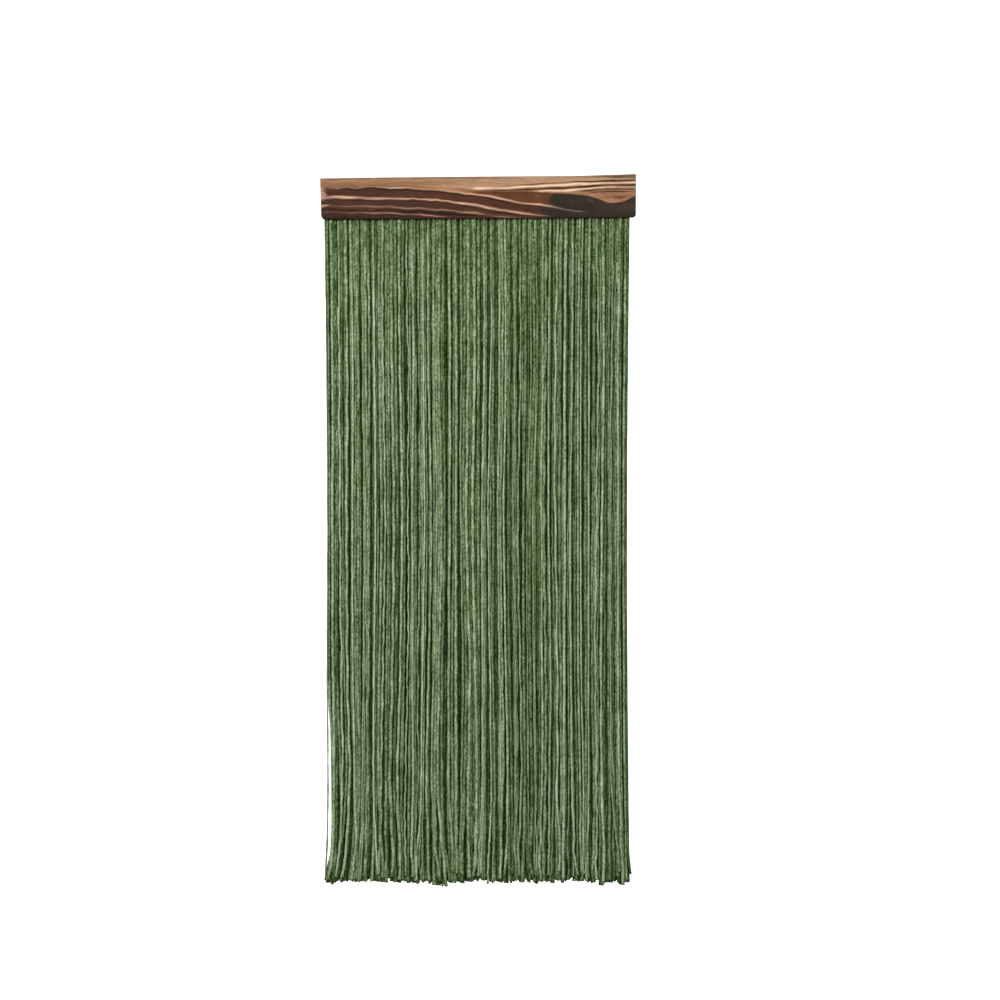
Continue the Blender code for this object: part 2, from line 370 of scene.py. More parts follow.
def lay_out_yarns(fringe):
    """A fringe's yarns, as arrays of yarns by rings: their centre lines and thicknesses.

    Which of them are sunken comes after these, and the random generator for what is drawn next.
    """
    rng = np.random.default_rng(fringe.seed)
    solids = string_solids(fringe.node)
    stations = np.cumsum(np.concatenate([[0], -np.diff(solids[:, :, 2].mean(axis=0))]))
    stations /= stations[-1]
    shares = ring_shares(fringe.rings)
    guides = curve_through(stations, solids.transpose(1, 0, 2), shares).transpose(1, 0, 2)
    drop = solids[0, 0, 2] - solids[:, -1, 2].mean()
    along = shares * drop

    sunken = find_sunken(solids, fringe.apart)
    owners, places, backs, widths = share_out(fringe, len(solids), rng)
    sunken = sunken[owners]
    count = len(owners)
    loose = ((owners == 0) | (owners == len(solids) - 1)) & (fringe is ROOM_FRINGE)
    calm = np.where(loose, LOOSE_CALM, 1.0)[:, None]

    paths = guides[owners]
    spread = THICKNESS_SPREAD * max(fringe.swing, LEAST_SWING)
    radii = paths[:, :, 3] * widths[:, None] * rng.uniform(1 - spread, 1 + spread, (count, 1))
    radii = radii * np.where(sunken, SUNKEN_THICKNESS, 1.0)[:, None]
    radii = np.where(loose[:, None], LOOSE_WIDER * paths[:, :, 3], radii)
    swell = slow_waves(rng, count, SWELL_LENGTHS, (1.0, 1.0), along)
    radii = radii * (1 + SWELL * fringe.swing * swell)
    if fringe is WALL_FRINGE:
        paths, room = fill_row(guides, owners, paths)
    else:
        room = np.maximum(paths[:, :, 3] - radii, 0.0)
        paired = np.bincount(owners)[owners] == 2
        room[paired] = 2 * np.maximum(room[paired], PAIR_APART * radii[paired])

    swing = slow_waves(rng, count, SWING_LENGTHS, SWING_WIDTHS, along) * fringe.swing * calm
    turn = slow_waves(rng, count, TURN_LENGTHS, TURN_ANGLES, along) * fringe.swing * calm
    swing *= smooth_step(along, 0.0, SWING_FREE)
    turn = turn * smooth_step(along, 0.0, TURN_FREE)
    side = places[:, None] * room * fringe.spread
    back = (backs[:, None] - IN_FRONT) * fringe.set_back + sunken[:, None] * SUNKEN_BY
    x = paths[:, :, 0] + side * np.cos(turn) + swing
    y = paths[:, :, 1] + back * np.cos(turn * TURN_BACK) + TURN_DEPTH * side * np.sin(turn)

    stray_way = rng.normal(0, USUAL_REACH, (count, 1))
    stray_way = stray_way + slow_waves(rng, count, STRAY_LENGTHS, STRAY_WIDTHS, along)
    from_side = np.minimum(owners, len(solids) - 1 - owners)[:, None]
    stray_way *= fringe.swing**2 * calm * np.clip(from_side / CALM_STRINGS, 0.0, 1.0)
    straying = smooth_step(shares, *STRAY_SHARES)
    x += HEM_STRAY * stray_way * straying**1.5
    y += STRAY_DEPTH * HEM_STRAY * np.roll(stray_way, 1, axis=0) * straying**2
    ends = rng.uniform(*HEM_UNEVEN_SHARES, (count, 1)) * HEM_UNEVEN * calm + HEM_LONGER
    ends -= rng.random((count, 1)) ** 2 * HEM_SHORTER * fringe.swing * calm
    z = paths[:, :, 2] - ends * smooth_step(shares, HEM_STRETCH_FROM, 1.0)
    curl = rng.normal(0, TIP_CURL, (count, 1)) * calm * fringe.swing
    x += curl * smooth_step(z[:, -1:] + CURL_LENGTH - z, 0.0, CURL_LENGTH) ** 2

    radii = radii * (1 + HEM_WIDER * fringe.swing * smooth_step(shares, *HEM_WIDER_SHARES))
    radii = radii * (1 + ROOT_WIDER * fringe.swing * (1 - smooth_step(along, 0.0, ROOT_LENGTH)))
    flare = smooth_step(z[:, -1:] + FLARE_LENGTH - z, 0.0, FLARE_LENGTH)
    radii = radii * (1 + (FLARE_WIDTH - 1) * flare)
    y = np.minimum(y, -radii - WALL_CLEARANCE)
    return np.stack([x, y, z], axis=2), radii, sunken, rng


# ---------------------------------------------------------------- strings: meshes


def yarn_faces(centres, radii, sides, rng):
    """Corners of the yarns' tubes, their faces, each face corner's yarn, place round it and place
    down it, and how far each corner faces the wall."""
    count, rings, _ = centres.shape
    start = rng.uniform(0, 2 * math.pi, (count, 1))
    angles = start + 2 * math.pi * np.arange(sides) / sides
    spokes = np.stack([np.cos(angles), np.sin(angles), np.zeros_like(angles)], axis=2)
    corners = centres[:, :, None, :] + radii[:, :, None, None] * spokes[:, None, :, :]
    index = np.arange(count * rings * sides).reshape(count, rings, sides)
    upper, lower = index[:, :-1, :], index[:, 1:, :]
    quads = np.stack([upper, lower, np.roll(lower, -1, 2), np.roll(upper, -1, 2)], axis=3)
    down = np.linspace(0.0, 1.0, rings)
    around = np.arange(sides) / sides
    shape = (count, rings - 1, sides)
    left = np.broadcast_to(around, shape)
    top = np.broadcast_to(down[:-1, None], shape)
    bottom = top + np.broadcast_to(np.diff(down)[:, None], shape)
    right = left + 1 / sides
    yarn = np.broadcast_to(np.arange(count)[:, None, None], shape)
    round_quad = ((left, top), (left, bottom), (right, bottom), (right, top))
    quad_spots = np.stack([np.stack([yarn, *spot], axis=3) for spot in round_quad], axis=3)
    ends = np.concatenate([index[:, 0, :], index[:, -1, ::-1]])
    own = np.concatenate([np.arange(count), np.arange(count)])
    level = np.concatenate([np.zeros(count), np.ones(count)])
    end_spots = (own[:, None], around, level[:, None])
    end_spots = np.stack([np.broadcast_to(values, ends.shape) for values in end_spots], axis=2)
    faces = [*quads.reshape(-1, 4).tolist(), *ends.tolist()]
    spots = np.concatenate([quad_spots.reshape(-1, 3), end_spots.reshape(-1, 3)])
    facing = np.broadcast_to(spokes[:, None, :, 1], (count, rings, sides)).reshape(-1)
    return corners.reshape(-1, 3), faces, spots, facing


def tuft_faces(centres, radii, first, rng):
    """Frayed tufts at the yarns' ends: short three-sided spikes that spread outwards and down."""
    tips, widths = centres[:, -1, :], radii[:, -1]
    count = len(tips)
    angles = rng.uniform(0, 2 * math.pi, (count, TUFTS))
    out = np.stack([np.cos(angles), np.sin(angles), np.zeros_like(angles)], axis=2)
    from_middle = widths[:, None, None] * rng.uniform(*TUFT_PLACES, (count, TUFTS, 1))
    roots = tips[:, None, :] + out * from_middle
    roots[:, :, 2] += TUFT_OVERLAP
    reach = TUFT_LENGTH * rng.uniform(*TUFT_LENGTHS, (count, TUFTS, 1))
    ends = roots + out * TUFT_SPREAD * rng.uniform(*TUFT_SPREADS, (count, TUFTS, 1))
    ends = ends - np.array([0.0, 0.0, 1.0]) * reach
    ends[:, :, 1] = np.minimum(ends[:, :, 1], -WALL_CLEARANCE)
    spokes = 2 * math.pi * np.arange(3) / 3
    base = np.stack([np.cos(spokes), np.sin(spokes), np.zeros(3)], axis=1) * TUFT_ROOT
    rims = roots[:, :, None, :] + base
    corners = np.concatenate([rims, ends[:, :, None, :]], axis=2).reshape(-1, 3)
    a, b, c, tip = (first + np.arange(count * TUFTS * 4).reshape(-1, 4)).T
    sides = ((a, tip, b), (b, tip, c), (c, tip, a), (a, b, c))
    faces = np.concatenate([np.stack(side, axis=1) for side in sides])
    yarn = np.repeat(np.arange(count), TUFTS)
    spots = np.zeros((4, count * TUFTS, 3, 3))
    spots[..., 0] = yarn[None, :, None]
    spots[..., 1] = (0.2, 0.5, 0.8)
    spots[..., 2] = (0.995, 1.0, 0.998)
    return corners, faces.tolist(), spots.reshape(-1, 3), yarn


def give_values(mesh, name, values):
    """Store one number for each corner of a mesh under a name."""
    layer = mesh.attributes.new(name, "FLOAT", "POINT")
    layer.data.foreach_set("value", np.asarray(values, np.float32))


def give_map(mesh, name, across, down):
    """Store a flat place for each corner of each face under a name."""
    layer = mesh.uv_layers.new(name=name)
    places = np.stack([across, down], axis=1)
    layer.data.foreach_set("uv", np.asarray(places, np.float32).reshape(-1))


def shade_in_curtain(corners, facing):
    """How deep each corner lies behind the side of the curtain that it faces, from 0 outside to 1:
    how much painted shade it gets.
    """
    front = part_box("strings_front")[0].y + CALM_DEPTH
    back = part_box("strings_back")[1].y - CALM_DEPTH
    from_front = np.clip((corners[:, 1] - front) / DARK_DEPTH, 0.0, 1.0)
    from_back = np.clip((back - corners[:, 1]) / DARK_DEPTH, 0.0, 1.0)
    turned = smooth_step(facing, *TURNED_FACING)
    edge = 1 - smooth_step(np.abs(facing), *EDGE_FACING)
    return from_front * (1 - turned) + from_back * turned + EDGE_SHADE * edge


def yarn_tones(fringe, centres, radii, sunken, rng):
    """A tone for each yarn, with painted shade where it is sunken, and no broad bands across the
    fringe.
    """
    # Sunken strings hang behind the foremost ones: their lower tone is painted shade
    tone = rng.normal(YARN_TONE, fringe.tone_spread, len(centres)) - fringe.dim * sunken
    depth_shade = DEEP_SHADE * SUNKEN_BY / DARK_DEPTH * sunken
    ring = fringe.rings // EVEN_RING_PART
    tone = even_out(tone - depth_shade, centres[:, ring, 0], radii[:, ring]) + depth_shade
    if fringe is ROOM_FRINGE:
        tone[[0, -1]] = LOOSE_TONES
    return tone


def make_fringe(fringe, material):
    """One fringe's yarns as a single mesh, from their roots in the heading to their frayed ends."""
    centres, radii, sunken, rng = lay_out_yarns(fringe)
    count = len(centres)
    corners, faces, spots, facing = yarn_faces(centres, radii, fringe.sides, rng)
    tufts, more_faces, tuft_spots, tuft_yarn = tuft_faces(centres, radii, len(corners), rng)
    corners = np.concatenate([corners, tufts])
    spots = np.concatenate([spots, tuft_spots])
    facing = np.concatenate([facing, np.full(len(tufts), -1.0)])
    tube_yarn = np.repeat(np.arange(count), fringe.rings * fringe.sides)
    yarn_of = np.concatenate([tube_yarn, np.repeat(tuft_yarn, 4)])

    mesh = bpy.data.meshes.new(fringe.piece)
    mesh.from_pydata(corners, [], faces + more_faces)
    mesh.shade_smooth()
    tone = yarn_tones(fringe, centres, radii, sunken, rng)
    fray = smooth_step(centres[:, -1, 2][yarn_of] + FRAY_LENGTH - corners[:, 2], 0.0, FRAY_LENGTH)
    near_root = 1 - smooth_step(centres[0, 0, 2] - corners[:, 2], 0.0, ROOT_LENGTH)
    # How much painted shade each corner gets: deep in the curtain, and near the roots all over
    depth = shade_in_curtain(corners, facing) * (1 - (1 - ROOT_DEPTH) * near_root)
    give_values(mesh, "tone", YARN_TONE + (tone[yarn_of] - YARN_TONE) * (1 - ROOT_TONES * near_root))
    give_values(mesh, "deep", (depth + ROOT_SHADE * near_root) * (1 - FRAY_THINS * fray))
    give_values(mesh, "fray", fray)

    number, around, down = spots.T
    shares = ring_shares(fringe.rings)
    levels = np.interp(down, np.linspace(0.0, 1.0, fringe.rings), shares)
    length = centres[0, 0, 2] - centres[:, -1, 2].mean()
    give_map(mesh, "OFBake", (number + 0.5 + BAKE_FILL * (around - 0.5)) / count, levels)
    around = TWIST_MARGIN + (1 - 2 * TWIST_MARGIN) * around
    give_map(mesh, "twist", number + around, levels * length)
    mesh.materials.append(material)
    piece = bpy.data.objects.new(fringe.piece, mesh)
    bpy.context.scene.collection.objects.link(piece)
    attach(piece, "root")
    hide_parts(fringe.node)


# ---------------------------------------------------------------- headings

# How soft the tape's edges are. Edges that bend less than this are shaded smooth
TAPE_EDGE = 0.6 * MM
ROUNDED_BELOW = math.radians(40)


def select_only(piece):
    """Leave one object selected and active."""
    bpy.ops.object.select_all(action="DESELECT")
    piece.select_set(True)
    bpy.context.view_layer.objects.active = piece


def make_tape(fringe, name, material):
    """A fringe's woven heading: a narrow tape with soft edges, where its solid has it."""
    corners = [vert.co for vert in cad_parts[fringe.node].data.vertices]
    levels = sorted({round(co.z, 4) for co in corners}, reverse=True)
    heading = [co for co in corners if co.z > levels[1] - 1e-4]
    low = Vector([min(co[i] for co in heading) for i in range(3)])
    high = Vector([max(co[i] for co in heading) for i in range(3)])
    bpy.ops.object.select_all(action="DESELECT")
    bpy.ops.mesh.primitive_cube_add(size=1.0, location=(low + high) / 2)
    tape = bpy.context.object
    tape.name = name
    tape.data.name = name
    tape.scale = high - low
    bpy.ops.object.transform_apply(location=True, rotation=False, scale=True)
    bpy.ops.object.mode_set(mode="EDIT")
    bpy.ops.mesh.select_all(action="SELECT")
    bpy.ops.mesh.bevel(offset=TAPE_EDGE, segments=2, affect="EDGES")
    bpy.ops.object.mode_set(mode="OBJECT")
    bpy.ops.object.shade_smooth_by_angle(angle=ROUNDED_BELOW)
    tape.data.materials.clear()
    tape.data.materials.append(material)
    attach(tape, "root")
    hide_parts(fringe.node)


# ---------------------------------------------------------------- plank

# The board is cut into strips this wide along it and up it. Streaks of the ridges' strength, and
# paler ones, lie in the plank's own face. The rest of it lies lower, by RELIEF for each unit of
# strength. A corner is on the face where its normal points to the front by at least this much
CUT_ALONG = 5.0 * MM
CUT_UP = 1.3 * MM
RELIEF = 0.45 * MM
RIDGE = 0.6
FACES_FRONT = -0.99

# Corners of the plank nearer together than this are one, and faces that bend less are one
SAME_PLACE = 0.00001
FLAT_BELOW = math.radians(0.1)

# Lines of the grain on the plank's face. Each point is the share of the plank's length from its left
# end, and the share of its height from its lower edge. A line of FLOW also lies at a place among the
# growth layers, from 0 at the lower edge to 1 at the upper. The others only carry streaks
GrainLine = namedtuple("GrainLine", "name layer points")
FLOW = (
    GrainLine("low_line", 0.165, (
        (0.0, 0.165), (0.15, 0.145), (0.32, 0.095), (0.37, 0.06), (0.45, 0.03), (0.7, -0.02),
        (1.0, -0.05),
    )),
    GrainLine("dim_line", 0.32, (
        (0.0, 0.31), (0.2, 0.29), (0.32, 0.235), (0.43, 0.182), (0.50, 0.11), (0.57, 0.04),
        (0.8, 0.0), (1.0, 0.0),
    )),
    GrainLine("pale_line", 0.525, (
        (0.0, 0.49), (0.05, 0.525), (0.1, 0.52), (0.14, 0.495), (0.25, 0.495), (0.32, 0.466),
        (0.38, 0.449), (0.42, 0.40), (0.474, 0.333), (0.537, 0.247), (0.57, 0.194), (0.6, 0.16),
        (0.664, 0.085), (0.72, 0.04), (0.8, 0.03), (1.0, 0.02),
    )),
    GrainLine("tan_edge", 0.77, (
        (0.0, 0.775), (0.05, 0.735), (0.085, 0.75), (0.11, 0.725), (0.15, 0.765), (0.19, 0.745),
        (0.25, 0.725), (0.29, 0.705), (0.38, 0.667), (0.43, 0.61), (0.46, 0.565), (0.505, 0.543),
        (0.54, 0.505), (0.57, 0.443), (0.6, 0.396), (0.632, 0.342), (0.664, 0.31), (0.71, 0.276),
        (0.743, 0.227), (0.775, 0.165), (0.84, 0.115), (1.0, 0.06),
    )),
    GrainLine("burnt_edge", 0.80, (
        (0.0, 0.80), (0.3, 0.735), (0.45, 0.67), (0.56, 0.635), (0.664, 0.63), (0.727, 0.59),
        (0.806, 0.547), (0.853, 0.49), (0.885, 0.42), (0.905, 0.36), (0.933, 0.33), (0.964, 0.375),
        (0.99, 0.456), (1.0, 0.48),
    )),
    GrainLine("inner_line", 0.84, (
        (0.0, 0.84), (0.3, 0.77), (0.45, 0.69), (0.5, 0.672), (0.56, 0.668), (0.664, 0.682),
        (0.759, 0.705), (0.806, 0.709), (0.853, 0.738), (0.885, 0.754), (1.0, 0.747),
    )),
    GrainLine("upper_line", 0.89, (
        (0.0, 0.89), (0.3, 0.83), (0.45, 0.785), (0.5, 0.768), (0.56, 0.757), (0.664, 0.798),
        (0.775, 0.832), (0.822, 0.846), (0.9, 0.85), (1.0, 0.853),
    )),
)
SIDE_LINES = (
    GrainLine("third_line", None, (
        (0.0, 0.65), (0.695, 0.648), (0.8, 0.650), (0.853, 0.69), (0.885, 0.71), (1.0, 0.70),
    )),
    GrainLine("crest_line", None, (
        (0.0, 0.89), (0.46, 0.87), (0.5, 0.885), (0.57, 0.855), (0.664, 0.866), (0.775, 0.85),
        (0.82, 0.885), (1.0, 0.91),
    )),
    GrainLine("short_line", None, ((0.0, 0.80), (0.43, 0.775), (0.52, 0.775), (1.0, 0.8))),
)

# Thin pale and dark lines on the face, each along one of the lines above: how far above it, how
# thick, and how strong at places along the plank (dark is below zero). Those named shade are painted
# shade below a ridge, and the strongest pale ones carry a painted highlight
Streak = namedtuple("Streak", "name along_line above thickness strength")
STREAKS = (
    Streak("low_pale", "low_line", 0.0, 0.024, (
        (0.0, 0.2), (0.1, 0.40), (0.16, 0.52), (0.3, 0.42), (0.36, 0.5), (0.42, 0.1), (1.0, 0.0),
    )),
    Streak("low_dark", "low_line", 0.060, 0.026, (
        (0.0, -0.4), (0.2, -0.65), (0.4, -0.7), (0.5, -0.2), (1.0, 0.0),
    )),
    Streak("low_shade", "low_line", -0.05, 0.022, (
        (0.0, -0.3), (0.2, -0.5), (0.4, -0.5), (0.5, 0.0),
    )),
    Streak("dim_pale", "dim_line", 0.0, 0.030, (
        (0.0, 0.15), (0.1, 0.25), (0.3, 0.34), (0.43, 0.45), (0.56, 0.5), (0.64, 0.0),
    )),
    Streak("dim_shade", "dim_line", -0.055, 0.026, (
        (0.0, -0.3), (0.1, -0.4), (0.3, -0.55), (0.56, -0.5), (0.64, 0.0),
    )),
    Streak("pale", "pale_line", 0.0, 0.036, (
        (0.0, 0.50), (0.05, 0.93), (0.1, 0.88), (0.13, 0.64), (0.20, 0.60), (0.26, 0.46),
        (0.33, 0.54), (0.45, 0.66), (0.62, 0.66), (0.7, 0.5), (0.76, 0.05), (1.0, 0.0),
    )),
    Streak("pale_shade", "pale_line", -0.060, 0.022, (
        (0.0, -0.7), (0.1, -0.7), (0.3, -0.65), (0.6, -0.6), (0.75, 0.0),
    )),
    Streak("tan_pale", "tan_edge", 0.022, 0.026, (
        (0.0, 0.1), (0.09, 0.50), (0.16, 0.3), (0.23, 0.8), (0.3, 0.4), (0.4, 0.45), (0.52, 0.62),
        (0.66, 0.66), (0.74, 0.62), (0.82, 0.45), (0.88, 0.0),
    )),
    Streak("tan_shade", "tan_edge", -0.035, 0.022, (
        (0.0, -0.2), (0.1, -0.7), (0.3, -0.8), (0.5, -0.6), (0.7, -0.6), (0.8, 0.0),
    )),
    Streak("inner_dark", "inner_line", 0.0, 0.027, (
        (0.47, 0.0), (0.50, -0.8), (0.664, -1.0), (0.8, -1.2), (0.88, -1.5), (1.0, -1.4),
    )),
    Streak("upper_pale", "upper_line", -0.050, 0.032, (
        (0.46, 0.0), (0.50, 1.2), (0.56, 1.35), (0.8, 1.25), (0.9, 1.2), (1.0, 1.0),
    )),
    Streak("upper_dark", "upper_line", 0.0, 0.017, (
        (0.54, 0.0), (0.60, -0.6), (0.74, -0.85), (0.85, -1.0), (1.0, -0.9),
    )),
    Streak("third_pale", "third_line", 0.0, 0.032, (
        (0.66, 0.0), (0.70, 1.0), (0.80, 1.3), (0.9, 0.88), (1.0, 0.85),
    )),
    Streak("third_dark", "third_line", -0.056, 0.015, (
        (0.80, 0.0), (0.85, -0.9), (0.97, -0.9), (1.0, -0.5),
    )),
    Streak("third_low", "third_line", -0.112, 0.017, (
        (0.82, 0.0), (0.87, -0.9), (0.96, -0.9), (1.0, -0.3),
    )),
    Streak("bowl_pale", "burnt_edge", 0.040, 0.034, (
        (0.80, 0.0), (0.86, 0.35), (0.90, 0.22), (0.95, 0.22), (0.98, 0.4), (1.0, 0.4),
    )),
    Streak("bowl_high", "third_line", -0.150, 0.026, (
        (0.84, 0.0), (0.88, 0.35), (0.92, 0.1), (0.96, 0.3), (1.0, 0.3),
    )),
    Streak("bowl_shade", "third_line", -0.25, 0.060, (
        (0.84, 0.0), (0.90, -0.6), (0.95, -0.65), (1.0, -0.25),
    )),
    Streak("crest_dark", "crest_line", 0.030, 0.070, ((0.79, 0.0), (0.89, -0.44), (1.0, -0.62))),
    Streak("crest_pale", "crest_line", 0.0, 0.020, (
        (0.45, 0.0), (0.48, 0.55), (0.53, 0.3), (0.57, 0.75), (0.72, 0.65), (0.8, 0.3), (1.0, 0.0),
    )),
    Streak("short_pale", "short_line", 0.0, 0.018, (
        (0.0, 0.0), (0.20, 0.2), (0.30, 0.0), (0.42, 0.4), (0.52, 0.4), (0.56, 0.0),
    )),
)

# The growth layers go on below and above the lines of FLOW, which stay at least this far apart
LAYERS_BELOW = (-0.5,)
LAYERS_ABOVE = (1.0, 1.6)
LAYER_GAP = 0.012

# Patches on the face, as shares of the plank's length: the scorch, which starts a step further right
# above the tan edge and a step further left below it, and the brown heart. Both lie below the burnt
# edge. These say how softly they end at these edges, from how far to how far above each
SCORCH_FROM = (0.685, 0.748)
SCORCH_STEP = 0.012
SCORCH_TURNS = (-0.03, 0.05)
BURNT_ENDS = (-0.015, 0.015)
HEART_FROM = (0.44, 0.53)
HEART_ABOVE = (0.01, 0.05)

# Worn spots at the left end: how high, how far they reach along and up, and how bare they are
WORN_END = ((0.60, 0.022, 0.17), (0.32, 0.028, 0.045))
WORN_BARE = 1.3

# The charred rim of the right end, from where it is full to where it ends
RIM = (0.3 * MM, 2.0 * MM)

# How steeply the growth layers lean from the face inwards, and the height that it is counted in
RING_LEAN = 0.55
PLANK_HEIGHT = 0.12

# Unevenness of the grain: how much, and how long its waves are along the plank and up it. The waves
# of the layers themselves are less by a share at the right, where the grain is calmer
Uneven = namedtuple("Uneven", "amount length rise")
GRAIN_WAVES = (Uneven(0.006, 0.11, 0.12), Uneven(0.0025, 0.045, 0.06))
STRENGTH_WAVES = Uneven(0.10, 0.11, 0.2)
THICKNESS_WAVES = Uneven(0.12, 0.13, 0.2)
RAGGED_WAVES = Uneven(0.004, 0.09, 0.05)
CALM_FROM = (0.45, 0.65)
CALMER = 0.55
WAVES = 6
WAVE_SPREAD = (0.6, 1.6)
GRAIN_SEED = 11

# Which columns of the plank's corners reach from edge to edge: at least so much of the height, and
# more corners than this
FULL_HEIGHT = 0.84
FULL_CORNERS = 20


def line_height(line, along):
    """Height of a line of the grain at places along the plank."""
    stations, heights = zip(*line.points)
    return curve_through(stations, heights, along)


def edge_levels(corners):
    """Lower and upper edge of the plank at each corner's place, from the plank's own corners."""
    full = FULL_HEIGHT * (corners[:, 2].max() - corners[:, 2].min())
    places, lows, highs = [], [], []
    for place in np.unique(np.round(corners[:, 0], 4)):
        column = corners[np.abs(corners[:, 0] - place) < 1e-4, 2]
        if column.max() - column.min() > full and len(column) > FULL_CORNERS:
            places.append(place)
            lows.append(column.min())
            highs.append(column.max())
    low = np.polyfit(places, lows, 2)
    high = np.polyfit(places, highs, 2)
    return np.polyval(low, corners[:, 0]), np.polyval(high, corners[:, 0])


def waver(rng, across, up, uneven):
    """Gentle unevenness over the plank's face: a sum of slanting waves."""
    total = np.zeros(len(across))
    for _ in range(WAVES):
        turns = across / (uneven.length * rng.uniform(*WAVE_SPREAD))
        turns = turns + up / (uneven.rise * rng.uniform(*WAVE_SPREAD)) * rng.choice((-1, 1))
        total += np.sin(2 * math.pi * (turns + rng.random()))
    return uneven.amount * (total / math.sqrt(WAVES / 2))


def growth_layers(leaning, along):
    """Growth layer at each place: its height on the leaning grain, read between the lines of FLOW."""
    levels = [line_height(line, along) for line in FLOW]
    for i in range(1, len(levels)):
        levels[i] = np.maximum(levels[i], levels[i - 1] + LAYER_GAP)
    below = [np.full(len(along), level) for level in LAYERS_BELOW]
    above = [np.full(len(along), level) for level in LAYERS_ABOVE]
    levels = np.array([*below, *levels, *above])
    layers = [*LAYERS_BELOW, *(line.layer for line in FLOW), *LAYERS_ABOVE]
    return np.array([np.interp(leaning[i], levels[:, i], layers) for i in range(len(along))])


def grain_values(corners):
    """Each corner's growth layer, pale or dark streak, and strength of the three kinds of patch."""
    rng = np.random.default_rng(GRAIN_SEED)
    across, inward, up = corners.T
    left, right = across.min(), across.max()
    along = (across - left) / (right - left)
    low, high = edge_levels(corners)
    height = (up - low) / (high - low)
    inward = (inward - inward.min()) / PLANK_HEIGHT
    calm = 1 - CALMER * smooth_step(along, *CALM_FROM)
    grain_waves = sum(waver(rng, across, up, uneven) for uneven in GRAIN_WAVES)
    leaning = height + RING_LEAN * inward
    leaning = leaning + calm * grain_waves
    layer = growth_layers(leaning, along)

    lines = {line.name: line_height(line, along) for line in FLOW + SIDE_LINES}
    streak = np.zeros(len(corners))
    for item in STREAKS:
        strength = np.interp(along, *zip(*item.strength))
        strength = strength * (1 + waver(rng, across, up, STRENGTH_WAVES))
        thickness = item.thickness * (1 + waver(rng, across, up, THICKNESS_WAVES))
        middle = lines[item.along_line] + item.above
        streak += strength * np.exp(-(((leaning - middle) / thickness) ** 2))

    def above(line, ends):
        """0 below a line of the grain and 1 above it, smooth between the two ends."""
        return smooth_step(leaning, lines[line] + ends[0], lines[line] + ends[1])

    ragged = along + waver(rng, across, up, RAGGED_WAVES)
    below_burnt = 1 - above("burnt_edge", BURNT_ENDS)
    step = SCORCH_STEP * (2 * above("tan_edge", SCORCH_TURNS) - 1)
    scorch = np.minimum(smooth_step(ragged - step, *SCORCH_FROM), below_burnt)
    heart = smooth_step(ragged, *HEART_FROM) * below_burnt * above("tan_edge", HEART_ABOVE)
    rim = 1 - smooth_step(right - across, *RIM)
    worn = np.zeros(len(corners))
    for middle, reach_along, reach_up in WORN_END:
        reach = np.hypot(along / reach_along, (leaning - middle) / reach_up)
        worn = np.maximum(worn, WORN_BARE - reach)
    return layer, streak, {"bare": worn, "char": np.maximum(scorch, rim), "brown": heart}


def cut_into_strips(low, high, width, axis):
    """Cut the mesh being edited straight across one axis, again and again."""
    normal = [float(i == axis) for i in range(3)]
    for i in range(1, int((high[axis] - low[axis]) / width)):
        place = [(low[axis] + i * width) * part for part in normal]
        bpy.ops.mesh.select_all(action="SELECT")
        bpy.ops.mesh.bisect(plane_co=place, plane_no=normal)


def make_board(material):
    """The brushed board: the plank's own form cut into a fine net, its hollows sunk a little."""
    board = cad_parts["plank"].copy()
    board.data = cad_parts["plank"].data.copy()
    for key in list(board.keys()):
        del board[key]
    board.parent = None
    board.name = "charred_board"
    board.data.name = "charred_board"
    bpy.context.scene.collection.objects.link(board)
    select_only(board)
    low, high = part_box("plank")
    bpy.ops.object.mode_set(mode="EDIT")
    bpy.ops.mesh.select_all(action="SELECT")
    bpy.ops.mesh.remove_doubles(threshold=SAME_PLACE)
    bpy.ops.mesh.dissolve_limited(angle_limit=FLAT_BELOW)
    cut_into_strips(low, high, CUT_ALONG, 0)
    cut_into_strips(low, high, CUT_UP, 2)
    bpy.ops.object.mode_set(mode="OBJECT")
    bpy.ops.object.shade_smooth_by_angle(angle=ROUNDED_BELOW)

    mesh = board.data
    corners = np.empty(len(mesh.vertices) * 3)
    mesh.vertices.foreach_get("co", corners)
    corners = corners.reshape(-1, 3)
    normals = np.array([vert.normal for vert in mesh.vertices])
    layer, streak, masks = grain_values(corners)
    for name, values in {"layer": layer, "streak": streak, **masks}.items():
        give_values(mesh, name, values)
    face = normals[:, 1] < FACES_FRONT
    rise = RELIEF * np.clip(streak, -1.0, RIDGE) - RELIEF * RIDGE
    corners[face] += normals[face] * rise[face, None]
    mesh.vertices.foreach_set("co", corners.reshape(-1))
    mesh.update()
    mesh.materials.clear()
    mesh.materials.append(material)
    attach(board, "root")
    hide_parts("plank")


# ---------------------------------------------------------------- materials


def paint(red, green, blue):
    """A colour named by its display values out of 255, as the light it reflects."""
    return tuple(
        value / 255 / 12.92 if value <= 10 else ((value / 255 + 0.055) / 1.055) ** 2.4
        for value in (red, green, blue)
    ) + (1.0,)


